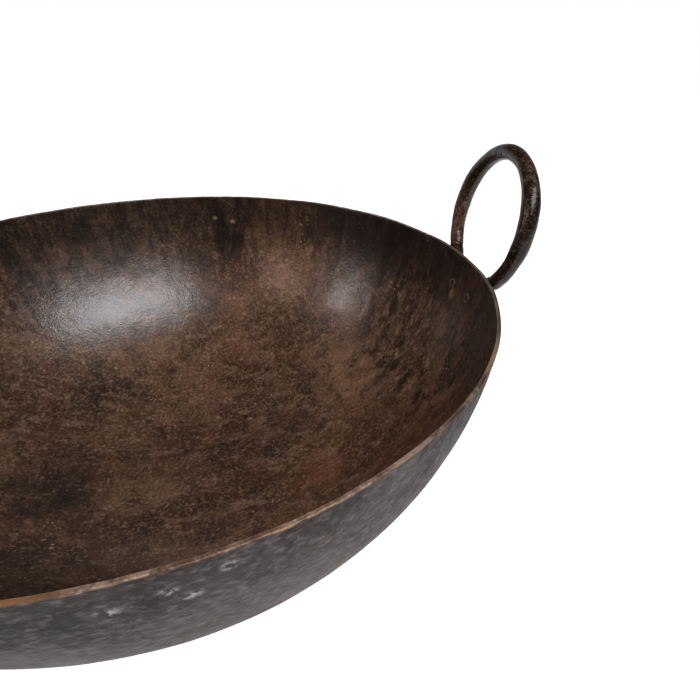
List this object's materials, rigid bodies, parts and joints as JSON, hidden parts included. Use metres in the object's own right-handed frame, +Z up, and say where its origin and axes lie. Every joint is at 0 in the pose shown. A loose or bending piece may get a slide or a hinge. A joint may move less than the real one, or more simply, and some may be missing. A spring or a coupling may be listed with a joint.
{
  "type": "kadai",
  "caption": "iron kadai, a deep round cooking bowl of sheet iron with a round loop handle riveted to the outside of the wall on opposite sides",
  "frame": {"origin": "centre of the flat spot under the bowl, on the floor", "axes": "+Z up; the two handles stand on +X and -X; Y runs across between them"},
  "size_m": [0.5526, 0.4998, 0.276],
  "materials": {
    "seasoned_sheet_iron": "hammered, oiled and darkened by use, bare brown metal on the rim",
    "forged_bar_iron": "forged, dark brown with worn patches",
    "rivet_iron": "hammered head, worn at its edge"
  },
  "bodies": {
    "root": {"bowl": "seasoned_sheet_iron", "handle_right": "forged_bar_iron", "handle_left": "forged_bar_iron", "rivet_right_back": "rivet_iron", "rivet_right_front": "rivet_iron", "rivet_left_back": "rivet_iron", "rivet_left_front": "rivet_iron"}
  },
  "joints": []
}
